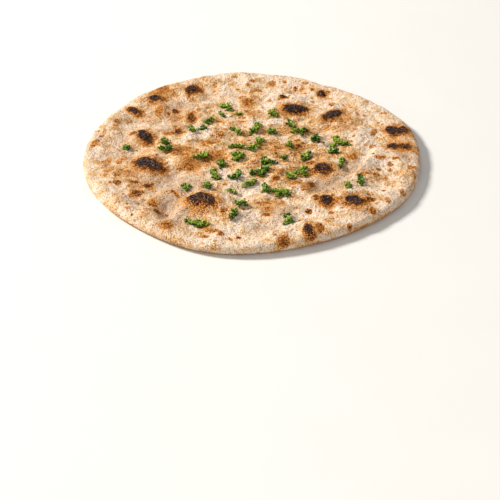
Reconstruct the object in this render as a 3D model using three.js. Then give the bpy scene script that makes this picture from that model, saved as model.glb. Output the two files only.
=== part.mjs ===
// A roti: one round griddle-baked flatbread with chopped curly parsley lying on it.
// Millimetres, +Z up. The bread rests on z = 0 and its box is centred on the origin.
import * as THREE from "three";

// The bread
const diameter = 208; // mean width across the outline
const thickness = 5.6; // of the middle
const rimPuff = 0.9; // how much thicker the puffed rim is
const rimInset = 7; // from the outline to the crest of the puffed rim
const rimReach = 6; // how far the puff spreads either side of its crest
const dipDepth = 0.9; // of the shallow ring inside the rim
const dipInset = 20; // from the outline to the ring's lowest line
const dipReach = 8;
const edgeRound = 4.2; // how far in the rounded edge runs

// The parsley
const sprigHeight = 3.2; // of a bit of middling size
const middlingPlan = 36; // length times width of such a bit
const sprigRuffle = 0.14; // how deep the lobes cut in, as a share of its half width
const sprigLobes = 5;
const restGap = 0.3; // clearance between a bit and the bread under it

// Fineness of the surfaces
const aroundSteps = 96;
const edgeSteps = 7;
const topRings = 18;
const underRings = 3;
const sprigRows = 5; // from top to underside; two steps round for each lobe

const radius = diameter / 2;
const degrees = Math.PI / 180;

// The hand-rolled outline: waves round the edge as [waves, height as a share of the radius, first crest].
const outlineWaves = [
  [1, 0.0138, -130],
  [3, 0.0124, 0],
  [4, 0.009, 2],
  [5, 0.0059, 35],
  [6, 0.006, 22],
  [9, 0.0028, 14],
];

// Blisters (up) and hollows (down): east and north as shares of the radius, then reach and height in mm.
const swells = [
  [-0.64, -0.16, 10, 1.7],
  [-0.53, -0.32, 9, -1.2],
  [-0.66, 0.18, 9, 1.5],
  [-0.46, 0.24, 7, -1.0],
  [-0.33, 0.12, 12, 0.7],
  [0.26, 0.5, 10, 1.7],
  [0.5, 0.42, 9, 1.4],
  [0.84, 0.22, 8, 1.1],
  [0.85, 0.04, 8, 0.9],
  [0.7, -0.06, 12, 1.0],
  [0.42, -0.55, 9, 1.2],
  [0.58, -0.55, 9, 1.5],
  [0.36, -0.42, 9, -1.4],
  [-0.3, -0.55, 11, 1.9],
  [-0.49, -0.6, 7, -1.3],
  [-0.48, -0.78, 8, 0.9],
  [0.1, -0.72, 10, -1.1],
  [0.32, -0.82, 9, 1.3],
  [-0.4, 0.77, 8, 1.0],
  [-0.3, 0.68, 8, -0.9],
  [-0.62, 0.62, 8, 0.9],
  [-0.7, 0.37, 9, -0.9],
  [0.41, -0.2, 8, 1.1],
  [0.54, -0.22, 7, -0.8],
  [-0.78, -0.38, 10, 0.8],
  [0, -0.1, 16, 0.6],
  [0.06, 0.3, 12, 0.5],
  [-0.83, 0.03, 9, -0.7],
  [0.02, 0.8, 12, 0.5],
];

// Parsley bits: east and north as shares of the radius, length and width in mm, turn in degrees.
const sprigPlaces = [
  [-0.165, 0.53, 9, 7, -65],
  [-0.2, 0.425, 6, 4, 80],
  [-0.1, 0.43, 6, 3.5, 25],
  [-0.27, 0.34, 6, 4, 40],
  [-0.37, 0.225, 8, 5, -70],
  [-0.295, 0.24, 5, 4.5, 30],
  [-0.1, 0.215, 8.5, 6.5, -40],
  [0.01, 0.235, 11, 6, 65],
  [0.12, 0.21, 6, 6, 0],
  [0.115, 0.42, 6, 4, 30],
  [0.23, 0.295, 8, 4, -65],
  [0.3, 0.2, 7, 5, 40],
  [0.38, 0.12, 7.5, 5, -60],
  [0.505, 0.085, 9.5, 6, -35],
  [0.475, -0.01, 5, 4, 20],
  [-0.54, 0.095, 6, 4.5, 80],
  [-0.52, 0.005, 8, 5.5, 15],
  [-0.76, 0.03, 4.5, 3, -60],
  [-0.1, 0.025, 7.5, 4.5, 10],
  [0.045, 0.085, 8, 4, 60],
  [-0.005, -0.005, 6, 4, 20],
  [0.215, 0.04, 7.5, 2.8, -65],
  [-0.085, -0.085, 7, 6.5, 0],
  [-0.3, -0.075, 9.5, 7, 25],
  [-0.185, -0.16, 6, 5, -70],
  [0.315, -0.07, 8.5, 6.5, 60],
  [0.19, -0.095, 4.5, 3.5, 50],
  [0.52, -0.15, 6, 3.8, 75],
  [0.065, -0.16, 8, 5, 75],
  [0.045, -0.26, 8, 6.5, 20],
  [0.29, -0.23, 9, 6.5, 60],
  [0.21, -0.3, 6, 4, 80],
  [-0.22, -0.29, 9, 5, -65],
  [-0.1, -0.3, 9.5, 7.5, -50],
  [-0.015, -0.38, 8.5, 6, 40],
  [-0.385, -0.41, 7, 5.5, -60],
  [-0.26, -0.4, 6.5, 4, 85],
  [0.08, -0.44, 7.5, 4.5, 85],
  [0.165, -0.46, 9, 6.5, -15],
  [-0.12, -0.46, 6, 4.5, 20],
  [-0.075, -0.585, 7, 4.5, -40],
  [-0.11, -0.7, 6.5, 3.5, 70],
  [-0.3, -0.775, 10, 5, 0],
  [0.2, -0.75, 7.5, 5.5, -50],
  [0.555, -0.4, 7, 4, 80],
  [0.615, -0.335, 6, 3, 85],
];

// Distance from the centre to the outline in a given direction.
function outlineAt(angle) {
  const wave = ([waves, share, crest]) => share * Math.cos(waves * (angle - crest * degrees));
  return radius * (1 + outlineWaves.reduce((sum, row) => sum + wave(row), 0));
}

function bump(distance, reach) {
  return Math.exp(-((distance / reach) ** 2));
}

// Thickness of the smooth bread at a distance inside the outline, before blisters.
function crustAt(inset) {
  return thickness + rimPuff * bump(inset - rimInset, rimReach) - dipDepth * bump(inset - dipInset, dipReach);
}

// Factor by which blisters and hollows raise or lower the top at one place.
function swellAt(x, y) {
  const raise = ([east, north, reach, height]) =>
    height * bump(Math.hypot(x - east * radius, y - north * radius), reach);
  return 1 + swells.reduce((sum, row) => sum + raise(row), 0) / thickness;
}

// Height of the bread's top at one place well inside the outline.
function topAt(x, y) {
  const inset = radius * (1 - Math.hypot(x, y) / outlineAt(Math.atan2(y, x)));
  return crustAt(inset) * swellAt(x, y);
}

// Half cross-section: underside from the axis out, round the edge, then the top back to the axis.
function breadProfile() {
  const points = [];
  const flat = radius - edgeRound;
  const half = crustAt(edgeRound) / 2;
  for (let i = 0; i < underRings; i++) points.push(new THREE.Vector2((flat * i) / underRings, 0));
  for (let i = 0; i < edgeSteps; i++) {
    const tilt = (i / edgeSteps - 0.5) * Math.PI;
    points.push(new THREE.Vector2(flat + edgeRound * Math.cos(tilt), half * (1 + Math.sin(tilt))));
  }
  for (let i = topRings; i >= 0; i--) {
    const out = (flat * i) / topRings;
    points.push(new THREE.Vector2(out, crustAt(radius - out)));
  }
  return points;
}

// Moves every vertex of a geometry to where place(x, y, z) says.
function reshape(geometry, place) {
  const spots = geometry.getAttribute("position");
  for (let i = 0; i < spots.count; i++) {
    spots.setXYZ(i, ...place(spots.getX(i), spots.getY(i), spots.getZ(i)));
  }
  geometry.computeVertexNormals();
  return geometry;
}

function makeBread() {
  const round = new THREE.LatheGeometry(breadProfile(), aroundSteps).rotateX(Math.PI / 2);
  return reshape(round, (x, y, z) => {
    const spread = outlineAt(Math.atan2(y, x)) / radius;
    return [x * spread, y * spread, z * swellAt(x * spread, y * spread)];
  });
}

// One ruffled bit of parsley: a low lobed dome whose underside follows the bread.
function makeSprig([east, north, length, width, turn], index) {
  const dome = new THREE.SphereGeometry(0.5, 2 * sprigLobes, sprigRows).rotateX(Math.PI / 2);
  const height = sprigHeight * Math.cbrt((length * width) / middlingPlan);
  reshape(dome, (x, y, z) => {
    const lobe = 1 + sprigRuffle * Math.cos(sprigLobes * Math.atan2(y, x) + index);
    return [x * lobe * length, y * lobe * width, Math.max(0, 2 * z) * height];
  });
  dome.rotateZ(turn * degrees).translate(east * radius, north * radius, 0);
  return reshape(dome, (x, y, z) => [x, y, z + topAt(x, y) + restGap]);
}

function named(name, geometry, material) {
  const mesh = new THREE.Mesh(geometry, material);
  mesh.name = name;
  return mesh;
}

const crumb = new THREE.MeshStandardMaterial({ color: 0xe3bf92, roughness: 0.85, metalness: 0 });
const herb = new THREE.MeshStandardMaterial({ color: 0x3f7a1e, roughness: 0.6, metalness: 0 });

const bread = makeBread();
const roti = new THREE.Group();
roti.add(named("roti", bread, crumb));
sprigPlaces.forEach((place, i) => {
  roti.add(named(`parsley_${String(i + 1).padStart(2, "0")}`, makeSprig(place, i), herb));
});

// The waves push the outline a little to one side, so the whole is set back on the origin.
bread.computeBoundingBox();
const middle = bread.boundingBox.getCenter(new THREE.Vector3());
roti.position.set(-middle.x, -middle.y, 0);

export default roti;
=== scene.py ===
import math
import random

import bmesh
import bpy
import numpy as np
from mathutils import Euler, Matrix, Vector, noise
from mathutils.bvhtree import BVHTree


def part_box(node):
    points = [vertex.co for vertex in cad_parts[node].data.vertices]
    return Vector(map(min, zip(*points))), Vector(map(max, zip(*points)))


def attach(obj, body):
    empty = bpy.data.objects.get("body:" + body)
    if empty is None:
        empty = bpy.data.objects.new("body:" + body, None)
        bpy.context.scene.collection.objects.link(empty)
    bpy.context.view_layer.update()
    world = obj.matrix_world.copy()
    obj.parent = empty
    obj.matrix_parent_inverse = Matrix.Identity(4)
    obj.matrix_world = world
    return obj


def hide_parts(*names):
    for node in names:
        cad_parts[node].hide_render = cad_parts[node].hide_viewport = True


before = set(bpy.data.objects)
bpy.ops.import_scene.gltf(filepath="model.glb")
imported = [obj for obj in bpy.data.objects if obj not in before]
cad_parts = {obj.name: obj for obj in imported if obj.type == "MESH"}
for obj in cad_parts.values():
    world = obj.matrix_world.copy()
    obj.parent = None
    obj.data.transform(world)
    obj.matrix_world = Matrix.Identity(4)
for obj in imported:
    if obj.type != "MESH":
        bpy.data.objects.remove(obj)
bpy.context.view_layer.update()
mm = 0.001

breadLow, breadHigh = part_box("roti")
halfWidth = (breadHigh.x - breadLow.x) / 2
edgeHeight = breadHigh.z * 0.4  # where the edge bulges most
percent = halfWidth / 100  # places on the bread are given in hundredths of its half width
print("frame: bread is %.0f mm across" % (halfWidth * 2 / mm))


studio = {
    "elevation": 35.26,  # degrees above the floor
    "distance": 7.0,  # in half widths of the bread
    "aim": (-0.013, -0.944),  # the point of floor in the middle of the frame, in half widths
    "lens": 93.9,
    "sensor": 36,
    "clip": (0.01, 50),
    "keyPower": 133.0,  # watts; sizes and places are in metres
    "keySize": 0.55,
    "keyPlace": (-2.25, 0.9, 1.6),
    "keyColour": (1.0, 0.96, 0.9),
    "fillPower": 4.6,
    "fillSize": 0.9,
    "fillPlace": (0.1, -1.2, 0.8),
    "fillColour": (1.0, 0.97, 0.92),
    "skyStrength": 0.355,
    "skyColour": (1.0, 0.99, 0.97, 1),
    "floorReach": 4.0,  # metres from its middle to each side
    "floorCells": 12,
    "floorDrop": 0.2 * mm,  # so that it doesn't share a plane with the bread
    "floorColours": ((0.79, 0.78, 0.76, 1), (0.80, 0.79, 0.77, 1)),
    "floorMottle": 50 * mm,
    "floorRoughness": 0.7,
}


def makeCamera():
    cam = bpy.data.cameras.new("camera")
    cam.lens = studio["lens"]
    cam.sensor_width = studio["sensor"]
    cam.clip_start, cam.clip_end = studio["clip"]
    obj = bpy.data.objects.new("camera", cam)
    tilt = math.radians(studio["elevation"])
    aim = Vector((*studio["aim"], 0)) * halfWidth
    back = Vector((0, -math.cos(tilt), math.sin(tilt)))
    obj.location = aim + back * studio["distance"] * halfWidth
    obj.rotation_euler = (-back).to_track_quat("-Z", "Y").to_euler()
    bpy.context.scene.collection.objects.link(obj)
    bpy.context.scene.camera = obj


def makeLamp(name):
    # name is key or fill
    lamp = bpy.data.lights.new(name + "Light", "AREA")
    lamp.energy = studio[name + "Power"]
    lamp.size = studio[name + "Size"]
    lamp.color = studio[name + "Colour"]
    obj = bpy.data.objects.new(name + "Light", lamp)
    obj.location = studio[name + "Place"]
    obj.rotation_euler = (-Vector(studio[name + "Place"])).to_track_quat("-Z", "Y").to_euler()
    bpy.context.scene.collection.objects.link(obj)


def makeStudio():
    makeCamera()
    makeLamp("key")
    makeLamp("fill")
    world = bpy.data.worlds.new("studio")
    world.use_nodes = True
    sky = world.node_tree.nodes["Background"]
    sky.inputs["Color"].default_value = studio["skyColour"]
    sky.inputs["Strength"].default_value = studio["skyStrength"]
    bpy.context.scene.world = world
    bpy.context.scene.view_settings.view_transform = "Standard"


def makeFloor():
    obj = makeObject("floor", *floorGrid())
    mat, tree, shader, place = newMaterial("paleFloor")
    tone = between(tree, grain(tree, place, studio["floorMottle"]), 0.3, 0.7)
    tree.links.new(blendColour(tree, tone, *studio["floorColours"]), shader.inputs["Base Color"])
    shader.inputs["Roughness"].default_value = studio["floorRoughness"]
    obj.data.materials.append(mat)


def floorGrid():
    cells = studio["floorCells"]
    lines = [(2 * i / cells - 1) * studio["floorReach"] for i in range(cells + 1)]
    spots = [(x, y, -studio["floorDrop"]) for y in lines for x in lines]
    return spots, [cell[::-1] for cell in gridFaces(cells + 1, cells + 1)]


# These make meshes and nodes for every piece.

def gridFaces(across, outward):
    # the cells of a grid of points that runs row by row
    return [
        (j * across + i, (j + 1) * across + i, (j + 1) * across + i + 1, j * across + i + 1)
        for j in range(outward - 1) for i in range(across - 1)
    ]


def makeObject(name, spots, faces, smooth=True):
    mesh = bpy.data.meshes.new(name)
    mesh.from_pydata([tuple(p) for p in spots], [], faces)
    mesh.polygons.foreach_set("use_smooth", [smooth] * len(mesh.polygons))
    mesh.update()
    obj = bpy.data.objects.new(name, mesh)
    bpy.context.scene.collection.objects.link(obj)
    return obj


def fixNormals(obj):
    shape = bmesh.new()
    shape.from_mesh(obj.data)
    bmesh.ops.recalc_face_normals(shape, faces=shape.faces)
    shape.to_mesh(obj.data)
    shape.free()


def paintField(obj, name, values):
    # one number for each point, which the materials read
    field = obj.data.attributes.new(name, "FLOAT", "POINT")
    field.data.foreach_set("value", np.asarray(values, np.float32))


def newMaterial(name):
    mat = bpy.data.materials.new(name)
    mat.use_nodes = True
    tree = mat.node_tree
    place = addNode(tree, "ShaderNodeTexCoord").outputs["Object"]
    return mat, tree, tree.nodes["Principled BSDF"], place


def addNode(tree, kind, inputs=None, **settings):
    node = tree.nodes.new(kind)
    for key, value in settings.items():
        setattr(node, key, value)
    for key, value in (inputs or {}).items():
        if isinstance(value, bpy.types.NodeSocket):
            tree.links.new(value, node.inputs[key])
        else:
            node.inputs[key].default_value = value
    return node


def painted(tree, name):
    return addNode(tree, "ShaderNodeAttribute", attribute_name=name).outputs["Fac"]


def times(tree, first, second):
    return addNode(tree, "ShaderNodeMath", {0: first, 1: second}, operation="MULTIPLY").outputs[0]


def total(tree, *values):
    out = values[0]
    for value in values[1:]:
        out = addNode(tree, "ShaderNodeMath", {0: out, 1: value}, operation="ADD").outputs[0]
    return out


def between(tree, value, low, high):
    # 0 below low, 1 above high, smooth in the middle
    node = addNode(
        tree, "ShaderNodeMapRange", {"Value": value, "From Min": low, "From Max": high},
        interpolation_type="SMOOTHSTEP",
    )
    return node.outputs["Result"]


def spanned(tree, value, low, high):
    # low where value is 0, high where it is 1
    node = addNode(tree, "ShaderNodeMapRange", {"Value": value, "To Min": low, "To Max": high})
    return node.outputs["Result"]


def ramp(tree, factor, stops):
    node = addNode(tree, "ShaderNodeValToRGB", {"Fac": factor})
    steps = node.color_ramp.elements
    while len(steps) < len(stops):
        steps.new(0.5)
    for step, (place, colour) in zip(steps, stops):
        step.position = place
        step.color = (*colour, 1)
    return node.outputs["Color"]


def blendColour(tree, factor, first, second):
    # sockets 0, 6 and 7 are the colour form's factor and two colours, and output 2 its result
    node = addNode(tree, "ShaderNodeMix", data_type="RGBA")
    for socket, value in ((node.inputs[0], factor), (node.inputs[6], first), (node.inputs[7], second)):
        if isinstance(value, bpy.types.NodeSocket):
            tree.links.new(value, socket)
        else:
            socket.default_value = value
    return node.outputs[2]


def grain(tree, place, size, detail=3.0, rough=0.5, twist=0.0):
    # fractal noise whose biggest lumps are `size` metres
    node = addNode(
        tree, "ShaderNodeTexNoise",
        {"Vector": place, "Scale": 1 / size, "Detail": detail, "Roughness": rough, "Distortion": twist},
    )
    return node.outputs["Fac"]


def bumped(tree, height, depth, strength=1.0, under=None):
    # the surface normal tilted by a height; under is a normal that has been tilted already
    inputs = {"Height": height, "Strength": strength, "Distance": depth}
    if under is not None:
        inputs["Normal"] = under
    return addNode(tree, "ShaderNodeBump", inputs).outputs["Normal"]


bread = {
    "topSpacing": 0.7 * mm,  # between neighbouring points on the top
    "underSpacing": 1.7 * mm,
    "edgeInset": 3.4 * mm,  # the rounded edge is swept about a line this far in
    "edgeSteps": 13,
    "topFrom": (0.35, 0.75),  # up the edge, from 0 to 1, where the underside's crust gives way to the top's
    "calmRim": 0.55,  # share of the relief that is left on the rim
    "calmInset": (3 * mm, 14 * mm),  # and how far in from the outline it grows to the whole
    "swell": 1.9,  # how strongly the swells below are raised
    "lift": 1.6,  # and the lips
    "lipFront": (-1.6, 1.4),  # mm before and behind its line, where a lip starts and ends its rise
    "lipDip": (0.35, 3.5, 3.2),  # the dip before a lip: share of its lift, how far out and how wide, mm
    "lumps": [(13, 1.5), (6, 0.7)],  # size and height in mm
    "crumb": [(3, 0.38), (1.5, 0.32)],
    "crumbTips": 0.22 * mm,  # crumb that stands this high is toasted most, and this low least
    "ripple": (9, 3.6, 30, 0.85),  # length, width (mm), direction (degrees) and height (mm) of the soft folds
    "rippleFade": (0.45, 0.8),  # shares of the half width between which they die away
    "blister": 0.75 * mm,  # how high a burnt patch stands
    "blisterFrom": (0.45, 1.0),  # how far baked it starts to stand up, and stands highest
    "blisterLumps": (2.2 * mm, 0.5),  # size and strength of its own lumps
    "dents": 1.1 * mm,  # how deep the underside is dented
    "dentSize": 16 * mm,
    "dentMore": 0.1,  # more than 0 dents over half of it
    "wander": 0.8 * mm,  # how far the outline of a patch strays
    "wanderSize": 5 * mm,
    "patchShift": 1.5 * mm,  # the patches lie this much nearer the front than the table says
    "coreBake": (0.4, 0.9),  # patches baked as far as this
    "coreShare": (0.42, 0.55),  # are even out to this share of their size; pale ones fade from their middle
    "patchFade": (1.12, 1.4 * mm),  # where a patch ends: share of its size, and more for its narrower side
    "halo": 0.70,  # how far the crust is baked right beside a dark patch
    "haloFrom": 0.7,  # how far a patch has to be baked to have one
    "haloStart": 0.9,  # share of the patch's size
    "haloReach": 3.6 * mm,
    "haloFull": 10 * mm,  # narrower patches than this have a narrower halo
    "haloFade": 1.25,  # 1 fades at once, 2 keeps its strength further out
    "haloShift": 0.9 * mm,  # the halo is wider to the south-east
    "haloWeakest": 0.6,  # share of it left where it is patchy
    "haloPatchy": (-0.5, 0.3),  # levels of the noise where it is weakest, and whole
    "freckles": 210,
    "freckleSize": (1.2, 2.6),  # mm, and one in ten is twice as big
    "freckleBakes": [0.34, 0.38, 0.42, 0.46, 0.5, 0.62],
    "freckleShare": 0.95,  # how far they are baked, against a patch with the same number
    "lineWander": 4 * mm,  # length of the waves in lips and creases
    "creaseWander": 0.7,  # how far creases stray, against the lips
    "wrinkles": 90,
    "wrinkleWay": (0.45, 0.5),  # direction and how much it varies, radians
    "wrinkleRim": 60,  # from here outwards they follow the rim, in hundredths of the half width
    "wrinkleReach": (2.5, 8),  # either way from the middle of each, in hundredths of the half width
    "wrinkleBend": 0.25,
    "wrinkleDepth": (0.12, 0.34),  # mm, and so is the width
    "wrinkleWidth": (0.8, 1.6),
    "underMarks": 46,  # the hidden side: bigger, flatter griddle marks
    "underSize": (4, 15),  # mm
    "underBakes": [0.45, 0.5, 0.55, 0.65, 0.8, 1.0],
    "underFreckles": 150,
    "underTone": (0.25, 0.7, 15 * mm),  # how golden it is, how much that varies, and over what size
    "toneGrain": (6 * mm, 0.5),  # size and strength of the chance in the top's tone
    "sunkenShade": 0.35,  # how much painted shade darkens a sunken swell for each mm of depth that it has in the table of swells

    # Patches browned by the griddle: east, north, length and width (mm), turn (degrees), how far baked.
    # 0.4 is golden, 0.6 brown, 0.8 dark brown, 1 black. East and north are in hundredths of the half width.
    "patches": [
        # back left
        (-38.6, 79.5, 7, 9, -30, 0.96), (-41.3, 75, 4, 7, 0, 0.9), (-34.8, 80.5, 4.5, 5, 0, 0.84),
        (-38.9, 67, 6, 7, 0, 0.4), (-61.5, 65, 9, 11, -10, 0.98), (-59, 72.7, 11, 6, 35, 0.42),
        (-53.3, 68.9, 4, 3, 0, 0.55), (-74.3, 50.7, 10.5, 6, -35, 0.9), (-58, 49.8, 7, 15, 0, 0.48),
        (-48.5, 50.5, 3.4, 4.4, 0, 0.84), (-52, 46.5, 2.5, 3, 0, 0.6), (-38, 42.1, 5, 11, 0, 0.78),
        (-33.2, 49.8, 4, 6, 0, 0.46), (-27, 55, 6, 4, 0, 0.38), (-82.9, 36.4, 5, 6, 0, 0.5),
        (-84, 32, 5, 4, 0, 0.42), (-90.6, 18.2, 3, 4, 0, 0.52), (-94.4, 9.6, 4, 11, -20, 0.5),
        (-64.7, 16.6, 9.5, 13, 10, 1.06), (-66.6, 22.6, 6.5, 6, 0, 0.88), (-72, 20.5, 7, 7, 0, 0.58),
        (-63.8, 9, 10, 5, 0, 0.4), (-50, 21.5, 10, 10, 30, 0.56), (-45.6, 25, 3.6, 6.5, 0, 0.86),
        (-46.6, 30.6, 3.5, 6, 0, 0.46), (-89, 25, 3, 4, 0, 0.38), (-64, 40, 3, 3, 0, 0.45),
        # back
        (0.3, 75.6, 5, 5, 0, 0.5), (0.3, 89, 4.5, 5.5, 0, 0.46), (-2.5, 84, 4, 5, 0, 0.4),
        (-11.1, 93.8, 4.5, 3.5, 0, 0.44), (-24, 84, 4, 6, 0, 0.36), (-2.5, 60.3, 9.5, 12, 20, 0.56),
        (-7.4, 67, 4, 6, -20, 0.48), (12.8, 87.1, 6, 7.5, 0, 0.54), (21.4, 88, 3, 3.5, 0, 0.52),
        (19, 67, 4, 4.5, 0, 0.82), (28, 81, 2.6, 4, 0, 0.6), (38.6, 77.5, 3.5, 3.5, 0, 0.62),
        (33, 74, 6, 4, 0, 0.4), (43.9, 72.7, 5.5, 8, -15, 0.95), (45.5, 73, 8, 9, 0, 0.5),
        (11, 62, 4, 5, 0, 0.36), (-4, 48.5, 2.5, 2.5, 0, 0.6), (4, 48, 4, 6, 0, 0.38),
        # back right
        (25.2, 51, 14, 10.5, 0, 1.08), (31.5, 50.6, 8, 8, 0, 0.92), (26.5, 48, 14, 7, 0, 0.98),
        (20, 43.5, 8, 6, 0, 0.42), (31.5, 44, 5, 5, 0, 0.5), (50.1, 44.4, 15.5, 9.5, 38, 1.08),
        (46.3, 40.4, 9, 7, 35, 0.86), (53, 37.4, 12, 7, 20, 0.38), (45.3, 30.6, 6, 5, 0, 0.42),
        (50.1, 57.4, 4.5, 5.5, 0, 0.48), (65.4, 45.9, 3, 5, 0, 0.44), (69, 44, 3, 3, 0, 0.36),
        (81.7, 45.9, 5, 3.5, 0, 0.4), (85, 25.2, 9, 12, 10, 1.08), (88.6, 24, 11, 8, -25, 0.96),
        (91.6, 26.4, 7.5, 8, 0, 0.92), (88, 21.5, 14, 12, 0, 0.6), (83.6, 6.9, 8.5, 7.5, 0, 0.94),
        (91.3, 4.8, 6.5, 6.5, 0, 1.0), (87.5, 5.8, 15, 8, -5, 0.74), (97, -1, 4, 9, 30, 0.4),
        (74, 23.9, 3.6, 11.5, -22, 0.5), (71.2, 6.7, 3, 5.5, 0, 0.44), (38, 67, 3, 3, 0, 0.4),
        # front left
        (-63.5, -12.2, 12, 11.5, 0, 1.12), (-60, -13.8, 11, 12, 0, 1.08), (-56.8, -16.2, 10, 11, 10, 1.0),
        (-53.3, -11.5, 6, 12, 0, 0.44), (-73.3, -20.1, 12, 2.6, -20, 0.5), (-83.9, -22, 7, 4, 0, 0.4),
        (-60.4, -34.5, 5, 5.5, 0, 0.74), (-77.2, -33.5, 4.5, 7, 0, 0.58), (-67.6, -31.6, 6, 3.2, 0, 0.68),
        (-70, -37, 3, 4, 0, 0.44), (-65.7, -43.1, 6, 6.5, 0, 0.78), (-68.1, -46.9, 4, 4, 0, 0.6),
        (-56, -54, 7, 9, 20, 0.55), (-53.2, -62, 5, 8, 15, 0.62), (-43.7, -45.9, 10, 3, -45, 0.56),
        (-68.6, -61.3, 6, 3, 20, 0.38), (-84, -8, 3, 9, 0, 0.36), (-79, -29, 4, 3, 0, 0.4),
        # front
        (-32.6, -53.2, 9, 11, 0, 1.04), (-24.6, -54.5, 8.5, 11, 0, 1.06), (-28.6, -50.3, 13, 6, 0, 0.98),
        (-28.6, -53.2, 18, 14, 0, 0.88), (-28.6, -56, 6, 7, 0, 0.72), (-28.3, -56, 27, 22, 0, 0.5),
        (-28.3, -63, 17, 10, 0, 0.38), (-15.9, -63.2, 5.5, 6, 0, 0.56),
        (-46.6, -79.4, 9.5, 10.5, 0, 0.52), (-25.5, -88, 6, 4.5, 0, 0.5), (-7.3, -90, 3, 3, 0, 0.66),
        (-21.7, -82.3, 10, 4.5, 0, 0.46), (6.1, -55.5, 13, 3, 0, 0.5), (9, -60.3, 7, 6, 0, 0.46),
        (8, -65.1, 5, 3, 0, 0.62), (16.6, -92.8, 8.5, 12, 0, 0.6),
        # front right
        (57, -54.5, 12, 12, 0, 1.06), (65, -51, 5, 3, 20, 0.7), (57.5, -54, 15, 12, 0, 0.46),
        (41.2, -53.4, 8.5, 8.5, 10, 1.0), (36.4, -52, 8, 6, 0, 0.62), (48, -53, 12, 6, 0, 0.44),
        (40.5, -18.6, 10.5, 10.5, 0, 1.0), (44.5, -20, 6, 6, 0, 0.66), (33.8, -13.4, 6.5, 6, 0, 0.66),
        (35.4, -21, 6, 6, 0, 0.66), (45.5, -15, 3, 2.4, 40, 0.66), (30, -83.3, 5.5, 12, 0, 0.98),
        (36.2, -81.4, 7.5, 12, 0, 0.58), (31, -62.2, 5, 6, 0, 0.66), (43.9, -64, 4, 4, 0, 0.54),
        (66.4, -64.1, 5.5, 8.5, 0, 0.58), (53, -79.4, 3.2, 5, 0, 0.66), (59.7, -6.7, 5, 10, 5, 0.54),
        (57, -7, 3, 5, 0, 0.48), (75, -7.9, 7.5, 6, 0, 0.5), (80.2, -14.4, 3.2, 5, 0, 0.64),
        (79.8, -20.1, 3, 4, 0, 0.54), (84, -9, 5, 3, 0, 0.5), (92.2, -18.2, 4.5, 6, 0, 0.46),
        (93, -26, 4, 8, 0, 0.38), (64.5, -25.8, 10, 3, 8, 0.54), (71.2, -26.2, 5.5, 6, 0, 0.54),
        (76.9, -28.7, 3.2, 7, 0, 0.44), (13.7, -30.6, 7, 8, 0, 0.58), (33.8, -33.5, 4.5, 6, 0, 0.62),
        (24.3, -34.5, 9, 4, 0, 0.5), (30, -39.2, 7, 5, 0, 0.42), (75.5, -53.6, 3.5, 7, 10, 0.46),
        (84.6, -45, 4, 8, 20, 0.46), (41, -74, 6, 5, 0, 0.38), (27, -72, 6, 6, 0, 0.4),
        # middle
        (-24.5, 9.6, 5.5, 5, 0, 0.6), (-18.8, 19.1, 4.5, 9, 0, 0.52), (14.7, 4.8, 8, 7, 0, 0.48),
        (27.1, 6.7, 4, 5, 0, 0.72), (27, 14, 5, 4, 0, 0.5), (-37, -16, 12, 7, 10, 0.5),
        (-42, -2, 14, 6, 0, 0.46), (-38, 5, 4, 4, 0, 0.5), (17, -6, 9, 6, 0, 0.46),
        (-27, -10, 8, 8, 0, 0.46), (2, -14, 7, 7, 0, 0.42), (17, 26, 6, 6, 0, 0.38),
        (-20, 36, 7, 4, 0, 0.4), (-6, 36, 8, 4, 0, 0.4), (-16, 26, 6, 4, 0, 0.42), (38, 28, 5, 4, 0, 0.4),
    ],

    # Broad tones of the crust between the patches, in the same way: from -1, pale (floury, or painted light),
    # to 1, golden.
    # Some pale entries on lips and lumps, such as (-33, 18), (70, -14) and (18, -76), are painted light on
    # flanks that face the lamp.
    "tones": [
        (-56, 72, 24, 22, 20, 0.6), (-57, 50, 16, 16, 0, 0.6), (-36, 78, 12, 18, 0, 0.55),
        (0, 63, 12, 14, 0, 0.5), (-38, 42, 10, 14, 0, 0.6), (-46, 24, 12, 18, 0, 0.6),
        (-20, 20, 14, 16, 0, 0.4), (-26, 10, 12, 8, 0, 0.5), (-44, 1, 24, 10, -8, 0.7),
        (-36, -14, 18, 16, 0, 0.6), (-26, -7, 10, 12, 0, 0.6), (12, 24, 30, 12, 0, 0.25),
        (18, -1, 24, 20, 0, 0.5), (28, 9, 16, 10, 0, 0.5), (12, -28, 16, 18, 0, 0.4),
        (26, -21, 14, 12, 0, 0.45), (22, -34, 14, 10, 0, 0.35), (35, -10, 14, 14, 0, 0.2),
        (48, -3, 14, 10, 0, 0.4), (59, -7, 10, 14, 0, 0.5), (55, 30, 12, 16, 0, 0.35),
        (14, 42, 8, 10, 0, 0.4), (38, -40, 16, 14, 0, 0.5), (7, -57, 16, 12, 0, 0.5),
        (13, -66, 16, 14, 0, 0.4), (-16, -64, 14, 8, 0, 0.2), (-28, -64, 18, 22, 0, 0.2),
        (-25, -81, 12, 14, 0, 0.4), (-52, -60, 16, 20, 0, 0.25), (-72, -26, 26, 18, -20, 0.5),
        (-63, -41, 16, 14, 0, 0.45), (-90, 10, 8, 16, -20, 0.4), (-82, 35, 12, 8, 0, 0.1),
        (-85, -12, 12, 8, 0, 0.35), (75, -26, 20, 8, 0, 0.15), (76, -7, 12, 10, 0, 0.35),
        (0, 0, 90, 70, 0, 0.34), (28, 24, 24, 16, 0, 0.45), (8, 8, 22, 18, 0, 0.3),
        (86, 14, 24, 30, 0, 0.3), (40, -86, 30, 12, 25, 0.05), (-33, 18, 18, 14, 20, -1.0),
        (-12, 61, 8, 12, 20, -0.5), (11, 52, 8, 20, 0, -0.6), (27, 66, 12, 10, 0, -0.6),
        (70, -14, 16, 14, 0, -0.6), (67, 18, 12, 26, 0, -0.7), (-46, 42, 14, 12, 0, 0.35),
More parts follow.
